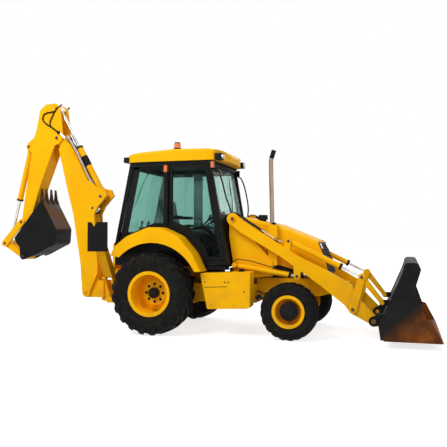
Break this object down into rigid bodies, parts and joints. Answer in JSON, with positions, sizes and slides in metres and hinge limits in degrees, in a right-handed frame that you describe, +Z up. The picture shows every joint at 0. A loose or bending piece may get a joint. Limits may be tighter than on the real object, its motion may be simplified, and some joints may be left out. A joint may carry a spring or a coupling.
{
  "type": "backhoe loader",
  "caption": "Wheeled tractor with a cab, a front loader bucket on lift arms, and a rear digging arm with a swing post and two stabilizer legs.",
  "frame": {"origin": "on the ground, below the middle of the machine's length and width", "axes": "+X forward, towards the loader bucket; +Y to the machine's left; +Z up"},
  "size_m": [7.5449, 2.3168, 3.886],
  "materials": {
    "yellow_paint": "gloss",
    "black_paint": "semi-gloss",
    "bucket_steel": "worn",
    "black_plastic": "matte",
    "lamp_plastic": "gloss",
    "seat_cover": "matte",
    "tinted_glass": "clear",
    "tyre_rubber": "matte",
    "chrome_rod": "polished",
    "exhaust_steel": "satin",
    "engine_iron": "matte"
  },
  "bodies": {
    "root": {"main_frame": "yellow_paint", "rear_frame": "yellow_paint", "swing_lugs": "yellow_paint", "tow_hitch": "yellow_paint", "loader_towers": "yellow_paint", "engine_block": "engine_iron", "side_tanks": "yellow_paint", "rear_fenders": "yellow_paint", "rear_axle": "black_paint", "front_axle": "black_paint", "cab_tub": "black_paint", "cab_frame": "black_paint", "cab_glass": "tinted_glass", "cab_roof": "yellow_paint", "roof_lamps": "lamp_plastic", "seat": "seat_cover", "cab_controls": "black_plastic", "exhaust_stack": "exhaust_steel"},
    "hood": {"hood": "yellow_paint", "grille": "black_plastic", "precleaner": "black_plastic"},
    "door_left": {"door_left": "black_paint", "door_glass_left": "tinted_glass"},
    "door_right": {"door_right": "black_paint", "door_glass_right": "tinted_glass"},
    "knuckle_left": {"knuckle_left": "black_paint"},
    "knuckle_right": {"knuckle_right": "black_paint"},
    "wheel_front_left": {"tyre_front_left": "tyre_rubber", "rim_front_left": "yellow_paint"},
    "wheel_front_right": {"tyre_front_right": "tyre_rubber", "rim_front_right": "yellow_paint"},
    "wheel_rear_left": {"tyre_rear_left": "tyre_rubber", "rim_rear_left": "yellow_paint"},
    "wheel_rear_right": {"tyre_rear_right": "tyre_rubber", "rim_rear_right": "yellow_paint"},
    "loader_arm": {"loader_arm": "yellow_paint"},
    "lift_barrel": {"lift_barrels": "yellow_paint"},
    "lift_rod": {"lift_rods": "chrome_rod"},
    "tilt_barrel": {"tilt_barrels": "yellow_paint"},
    "tilt_rod": {"tilt_rods": "chrome_rod"},
    "bellcrank": {"bellcranks": "yellow_paint"},
    "bucket_link": {"bucket_links": "yellow_paint"},
    "loader_bucket": {"loader_bucket": "bucket_steel"},
    "kingpost": {"kingpost": "yellow_paint"},
    "boom": {"boom": "yellow_paint"},
    "boom_barrel": {"boom_barrel": "yellow_paint"},
    "boom_rod": {"boom_rod": "chrome_rod"},
    "dipper": {"dipper": "yellow_paint"},
    "dipper_barrel": {"dipper_barrel": "yellow_paint"},
    "dipper_rod": {"dipper_rod": "chrome_rod"},
    "hoe_bucket_barrel": {"hoe_bucket_barrel": "yellow_paint"},
    "hoe_bucket_rod": {"hoe_bucket_rod": "chrome_rod"},
    "bucket_levers": {"bucket_levers": "yellow_paint"},
    "hoe_link": {"hoe_link": "yellow_paint"},
    "backhoe_bucket": {"backhoe_bucket": "bucket_steel"},
    "stabilizer_left": {"stabilizer_arm_left": "yellow_paint", "stabilizer_pad_left": "black_paint"},
    "stabilizer_right": {"stabilizer_arm_right": "yellow_paint", "stabilizer_pad_right": "black_paint"},
    "stabilizer_barrel_left": {"stabilizer_barrel_left": "yellow_paint"},
    "stabilizer_barrel_right": {"stabilizer_barrel_right": "yellow_paint"},
    "stabilizer_rod_left": {"stabilizer_rod_left": "chrome_rod"},
    "stabilizer_rod_right": {"stabilizer_rod_right": "chrome_rod"}
  },
  "joints": [
    {"name": "wheel_rear_left_spin", "type": "hinge", "parent": "root", "child": "wheel_rear_left", "pos_m": [-0.4435, 0.914, 0.632], "axis": [0, 1, 0], "continuous": true},
    {"name": "wheel_rear_right_spin", "type": "hinge", "parent": "root", "child": "wheel_rear_right", "pos_m": [-0.4435, -0.914, 0.632], "axis": [0, 1, 0], "continuous": true},
    {"name": "steer_right", "type": "hinge", "parent": "root", "child": "knuckle_right", "pos_m": [1.6715, -0.61, 0.419], "axis": [0, 0, 1], "range_deg": [-35, 35]},
    {"name": "steer_left", "type": "hinge", "parent": "root", "child": "knuckle_left", "pos_m": [1.6715, 0.61, 0.419], "axis": [0, 0, 1], "range_deg": [-35.2, 35.2]},
    {"name": "wheel_front_left_spin", "type": "hinge", "parent": "knuckle_left", "child": "wheel_front_left", "pos_m": [1.6715, 0.83, 0.419], "axis": [0, 1, 0], "continuous": true},
    {"name": "wheel_front_right_spin", "type": "hinge", "parent": "knuckle_right", "child": "wheel_front_right", "pos_m": [1.6715, -0.83, 0.419], "axis": [0, 1, 0], "continuous": true},
    {"name": "hood_tilt", "type": "hinge", "parent": "root", "child": "hood", "pos_m": [2.1565, 0, 0.905], "axis": [0, 1, 0], "range_deg": [0, 55]},
    {"name": "door_left_open", "type": "hinge", "parent": "root", "child": "door_left", "pos_m": [0.6485, 0.72, 1.137], "axis": [0.1776, 0, -0.9841], "range_deg": [0, 75]},
    {"name": "door_right_open", "type": "hinge", "parent": "root", "child": "door_right", "pos_m": [0.6485, -0.72, 1.137], "axis": [-0.1776, 0, 0.9841], "range_deg": [0, 75]},
    {"name": "loader_lift", "type": "hinge", "parent": "root", "child": "loader_arm", "pos_m": [0.7515, 0, 1.775], "axis": [0, -1, 0], "range_deg": [-2.5, 68]},
    {"name": "lift_barrel_swing", "type": "hinge", "parent": "root", "child": "lift_barrel", "pos_m": [0.7715, 0, 1.066], "axis": [0, 1, 0], "range_deg": [-57.79, 2.32]},
    {"name": "lift_rod_slide", "type": "slide", "parent": "lift_barrel", "child": "lift_rod", "axis": [0.9878, 0, -0.156], "range_m": [-0.02882, 0.75768]},
    {"name": "loader_bucket_tilt", "type": "hinge", "parent": "loader_arm", "child": "loader_bucket", "pos_m": [2.8575, 0, 0.291], "axis": [0, 1, 0], "range_deg": [-38, 90]},
    {"name": "bellcrank_swing", "type": "hinge", "parent": "loader_arm", "child": "bellcrank", "pos_m": [2.5615, 0, 0.452], "axis": [0, 1, 0], "range_deg": [-23.14, 54.52]},
    {"name": "bucket_link_swing", "type": "hinge", "parent": "bellcrank", "child": "bucket_link", "pos_m": [2.6925, 0, 0.919], "axis": [0, 1, 0], "range_deg": [-38.9, 16.54]},
    {"name": "tilt_barrel_swing", "type": "hinge", "parent": "loader_arm", "child": "tilt_barrel", "pos_m": [1.6185, 0, 1.437], "axis": [0, 1, 0], "range_deg": [-2.14, 4.8]},
    {"name": "tilt_rod_slide", "type": "slide", "parent": "tilt_barrel", "child": "tilt_rod", "axis": [0.9007, 0, -0.4344], "range_m": [-0.18193, 0.42953]},
    {"name": "swing", "type": "hinge", "parent": "root", "child": "kingpost", "pos_m": [-1.7435, 0, 0.6], "axis": [0, 0, 1], "range_deg": [-90, 90]},
    {"name": "boom_lower", "type": "hinge", "parent": "kingpost", "child": "boom", "pos_m": [-2.0585, 0, 0.525], "axis": [0, -1, 0], "range_deg": [0, 100]},
    {"name": "boom_barrel_swing", "type": "hinge", "parent": "kingpost", "child": "boom_barrel", "pos_m": [-1.8935, 0, 0.74], "axis": [0, 1, 0], "range_deg": [-100.25, 0.2]},
    {"name": "boom_rod_slide", "type": "slide", "parent": "boom_barrel", "child": "boom_rod", "axis": [-0.0397, 0, 0.9992], "range_m": [-0.001, 0.41622]},
    {"name": "dipper_open", "type": "hinge", "parent": "boom", "child": "dipper", "pos_m": [-2.6735, 0, 3.263], "axis": [0, 1, 0], "range_deg": [0, 95]},
    {"name": "dipper_barrel_swing", "type": "hinge", "parent": "boom", "child": "dipper_barrel", "pos_m": [-1.7885, 0, 2.2], "axis": [0, 1, 0], "range_deg": [-0.2, 10.46]},
    {"name": "dipper_rod_slide", "type": "slide", "parent": "dipper_barrel", "child": "dipper_rod", "axis": [-0.4894, 0, 0.8721], "range_m": [-0.74398, 0.001]},
    {"name": "backhoe_bucket_dump", "type": "hinge", "parent": "dipper", "child": "backhoe_bucket", "pos_m": [-3.3485, 0, 1.45], "axis": [0, 1, 0], "range_deg": [0, 140]},
    {"name": "bucket_lever_swing", "type": "hinge", "parent": "dipper", "child": "bucket_levers", "pos_m": [-3.3655, 0, 1.761], "axis": [0, 1, 0], "range_deg": [-0.2, 84.01]},
    {"name": "hoe_link_swing", "type": "hinge", "parent": "bucket_levers", "child": "hoe_link", "pos_m": [-3.7125, 0, 1.376], "axis": [0, 1, 0], "range_deg": [-54.29, 0.2]},
    {"name": "hoe_bucket_barrel_swing", "type": "hinge", "parent": "dipper", "child": "hoe_bucket_barrel", "pos_m": [-3.2835, 0, 3.14], "axis": [0, 1, 0], "range_deg": [-0.2, 11.56]},
    {"name": "hoe_bucket_rod_slide", "type": "slide", "parent": "hoe_bucket_barrel", "child": "hoe_bucket_rod", "axis": [-0.2363, 0, -0.9717], "range_m": [-0.6294, 0.001]},
    {"name": "stabilizer_left_lower", "type": "hinge", "parent": "root", "child": "stabilizer_left", "pos_m": [-1.3735, 0.38, 0.56], "axis": [-1, 0, 0], "range_deg": [0, 88]},
    {"name": "stabilizer_left_barrel_swing", "type": "hinge", "parent": "root", "child": "stabilizer_barrel_left", "pos_m": [-1.3735, 0.2, 1.35], "axis": [-1, 0, 0], "range_deg": [-0.2, 7.55]},
    {"name": "stabilizer_left_rod_slide", "type": "slide", "parent": "stabilizer_barrel_left", "child": "stabilizer_rod_left", "axis": [0, 0.54, -0.8417], "range_m": [-0.001, 0.41226]},
    {"name": "stabilizer_right_lower", "type": "hinge", "parent": "root", "child": "stabilizer_right", "pos_m": [-1.3735, -0.38, 0.56], "axis": [1, 0, 0], "range_deg": [0, 88]},
    {"name": "stabilizer_right_barrel_swing", "type": "hinge", "parent": "root", "child": "stabilizer_barrel_right", "pos_m": [-1.3735, -0.2, 1.35], "axis": [1, 0, 0], "range_deg": [-0.2, 7.55]},
    {"name": "stabilizer_right_rod_slide", "type": "slide", "parent": "stabilizer_barrel_right", "child": "stabilizer_rod_right", "axis": [0, -0.54, -0.8417], "range_m": [-0.001, 0.41226]}
  ],
  "couplings": [
    {"joint": "steer_left", "follows": "steer_right", "ratio": 1},
    {"joint": "lift_barrel_swing", "follows": "loader_lift", "ratio": -0.84688},
    {"joint": "lift_rod_slide", "follows": "loader_lift", "m_per_rad": 0.63756},
    {"joint": "bellcrank_swing", "follows": "loader_bucket_tilt", "ratio": 0.6036},
    {"joint": "bucket_link_swing", "follows": "loader_bucket_tilt", "ratio": -0.43},
    {"joint": "tilt_barrel_swing", "follows": "loader_bucket_tilt", "ratio": 0.051147},
    {"joint": "tilt_rod_slide", "follows": "loader_bucket_tilt", "m_per_rad": 0.27281},
    {"joint": "boom_barrel_swing", "follows": "boom_lower", "ratio": -1.0006},
    {"joint": "boom_rod_slide", "follows": "boom_lower", "m_per_rad": 0.2379},
    {"joint": "dipper_barrel_swing", "follows": "dipper_open", "ratio": 0.10805},
    {"joint": "dipper_rod_slide", "follows": "dipper_open", "m_per_rad": -0.4481},
    {"joint": "bucket_lever_swing", "follows": "backhoe_bucket_dump", "ratio": 0.59863},
    {"joint": "hoe_link_swing", "follows": "backhoe_bucket_dump", "ratio": -0.38635},
    {"joint": "hoe_bucket_barrel_swing", "follows": "backhoe_bucket_dump", "ratio": 0.081138},
    {"joint": "hoe_bucket_rod_slide", "follows": "backhoe_bucket_dump", "m_per_rad": -0.25718},
    {"joint": "stabilizer_left_barrel_swing", "follows": "stabilizer_left_lower", "ratio": 0.083475},
    {"joint": "stabilizer_left_rod_slide", "follows": "stabilizer_left_lower", "m_per_rad": 0.26777},
    {"joint": "stabilizer_right_barrel_swing", "follows": "stabilizer_right_lower", "ratio": 0.083475},
    {"joint": "stabilizer_right_rod_slide", "follows": "stabilizer_right_lower", "m_per_rad": 0.26777}
  ]
}
